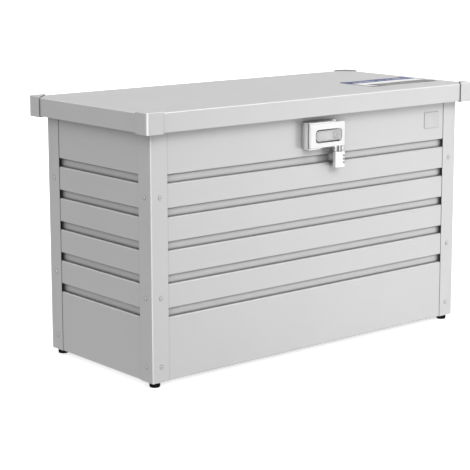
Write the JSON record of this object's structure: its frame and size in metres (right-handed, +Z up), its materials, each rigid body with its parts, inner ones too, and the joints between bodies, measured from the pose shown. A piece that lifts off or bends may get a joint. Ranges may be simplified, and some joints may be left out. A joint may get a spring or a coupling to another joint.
{
  "type": "deck storage box",
  "caption": "Lockable slatted sheet-steel deck storage box with an overhanging hinged lid, gas struts, key lock, lock cover and combination padlock.",
  "frame": {"origin": "on the floor under the middle of the lid's outline", "axes": "+X to the right along the front, +Y from the front to the rear, +Z up"},
  "size_m": [1.01, 0.46, 0.61],
  "materials": {
    "powder_coat": "fine-textured metallic silver powder coat",
    "stainless": "brushed stainless steel",
    "lock_grey": "satin grey die casting",
    "zinc": "bright zinc plating",
    "galvanised": "galvanised sheet",
    "strut_black": "black gloss lacquer",
    "chrome_rod": "hard chrome",
    "black_rubber": "matt moulded rubber",
    "padlock_body": "satin nickel",
    "dial_plastic": "moulded black"
  },
  "bodies": {
    "cabinet": {"front_panel": "powder_coat", "rear_panel": "powder_coat", "left_panel": "powder_coat", "right_panel": "powder_coat", "floor_panel": "galvanised", "front_left_post": "powder_coat", "front_right_post": "powder_coat", "rear_left_post": "powder_coat", "rear_right_post": "powder_coat", "post_screws": "powder_coat", "post_nuts": "zinc", "front_left_foot": "black_rubber", "front_right_foot": "black_rubber", "rear_left_foot": "black_rubber", "rear_right_foot": "black_rubber", "foot_nuts": "zinc", "lid_buffers": "black_rubber", "left_hinge_leaf": "zinc", "right_hinge_leaf": "zinc", "left_hinge_pin": "zinc", "right_hinge_pin": "zinc", "hinge_leaf_rivets": "powder_coat", "left_strut_foot": "galvanised", "right_strut_foot": "galvanised", "lock_body": "lock_grey", "lock_nut": "zinc", "cover_bracket": "stainless", "bracket_rivets": "zinc", "cover_pin": "stainless"},
    "lid": {"lid_shell": "powder_coat", "front_lid_stiffener": "galvanised", "rear_lid_stiffener": "galvanised", "front_left_cap": "powder_coat", "front_right_cap": "powder_coat", "rear_left_cap": "powder_coat", "rear_right_cap": "powder_coat", "left_hinge_wing": "zinc", "right_hinge_wing": "zinc", "hinge_wing_rivets": "powder_coat", "left_strut_lid_bracket": "galvanised", "right_strut_lid_bracket": "galvanised", "lock_strike": "galvanised"},
    "left_strut_tube": {"left_strut_tube": "strut_black"},
    "left_strut_rod": {"left_strut_rod": "chrome_rod"},
    "right_strut_tube": {"right_strut_tube": "strut_black"},
    "right_strut_rod": {"right_strut_rod": "chrome_rod"},
    "key_barrel": {"key_barrel": "chrome_rod", "lock_cam": "zinc"},
    "lock_cover": {"lock_cover": "stainless"},
    "shackle": {"padlock_shackle": "chrome_rod"},
    "padlock": {"padlock_case": "padlock_body"},
    "dial_1": {"padlock_dial_1": "dial_plastic"},
    "dial_2": {"padlock_dial_2": "dial_plastic"},
    "dial_3": {"padlock_dial_3": "dial_plastic"}
  },
  "joints": [
    {"name": "lid_hinge", "type": "hinge", "parent": "cabinet", "child": "lid", "pos_m": [0, 0.2195, 0.557], "axis": [-1, 0, 0], "range_deg": [0, 75]},
    {"name": "left_strut_swing", "type": "hinge", "parent": "cabinet", "child": "left_strut_tube", "pos_m": [-0.438, 0.1, 0.34765], "axis": [-1, 0, 0], "range_deg": [0, 22.94]},
    {"name": "left_strut_slide", "type": "slide", "parent": "left_strut_tube", "child": "left_strut_rod", "axis": [0, -0.1303, 0.9915], "range_m": [0, 0.14182]},
    {"name": "right_strut_swing", "type": "hinge", "parent": "cabinet", "child": "right_strut_tube", "pos_m": [0.438, 0.1, 0.34765], "axis": [-1, 0, 0], "range_deg": [0, 22.94]},
    {"name": "right_strut_slide", "type": "slide", "parent": "right_strut_tube", "child": "right_strut_rod", "axis": [0, -0.1303, 0.9915], "range_m": [0, 0.14182]},
    {"name": "key_turn", "type": "hinge", "parent": "cabinet", "child": "key_barrel", "pos_m": [0.046, -0.1994, 0.51675], "axis": [0, 1, 0], "range_deg": [0, 90]},
    {"name": "cover_swing", "type": "hinge", "parent": "cabinet", "child": "lock_cover", "pos_m": [-0.03725, -0.2209, 0.51675], "axis": [0, 0, -1], "range_deg": [0, 110]},
    {"name": "padlock_swing", "type": "hinge", "parent": "lock_cover", "child": "shackle", "pos_m": [0.0565, -0.2179, 0.4975], "axis": [1, 0, 0], "range_deg": [-12, 8]},
    {"name": "padlock_release", "type": "slide", "parent": "shackle", "child": "padlock", "axis": [0, 0, -1], "range_m": [0, 0.011]},
    {"name": "dial_1_turn", "type": "hinge", "parent": "padlock", "child": "dial_1", "pos_m": [0.0675, -0.2179, 0.466], "axis": [0, 0, 1], "continuous": true},
    {"name": "dial_2_turn", "type": "hinge", "parent": "padlock", "child": "dial_2", "pos_m": [0.0675, -0.2179, 0.4578], "axis": [0, 0, 1], "continuous": true},
    {"name": "dial_3_turn", "type": "hinge", "parent": "padlock", "child": "dial_3", "pos_m": [0.0675, -0.2179, 0.4496], "axis": [0, 0, 1], "continuous": true}
  ],
  "couplings": [
    {"joint": "left_strut_swing", "follows": "lid_hinge", "ratio": 0.30585},
    {"joint": "left_strut_slide", "follows": "lid_hinge", "m_per_rad": 0.10834},
    {"joint": "right_strut_swing", "follows": "lid_hinge", "ratio": 0.30585},
    {"joint": "right_strut_slide", "follows": "lid_hinge", "m_per_rad": 0.10834}
  ]
}
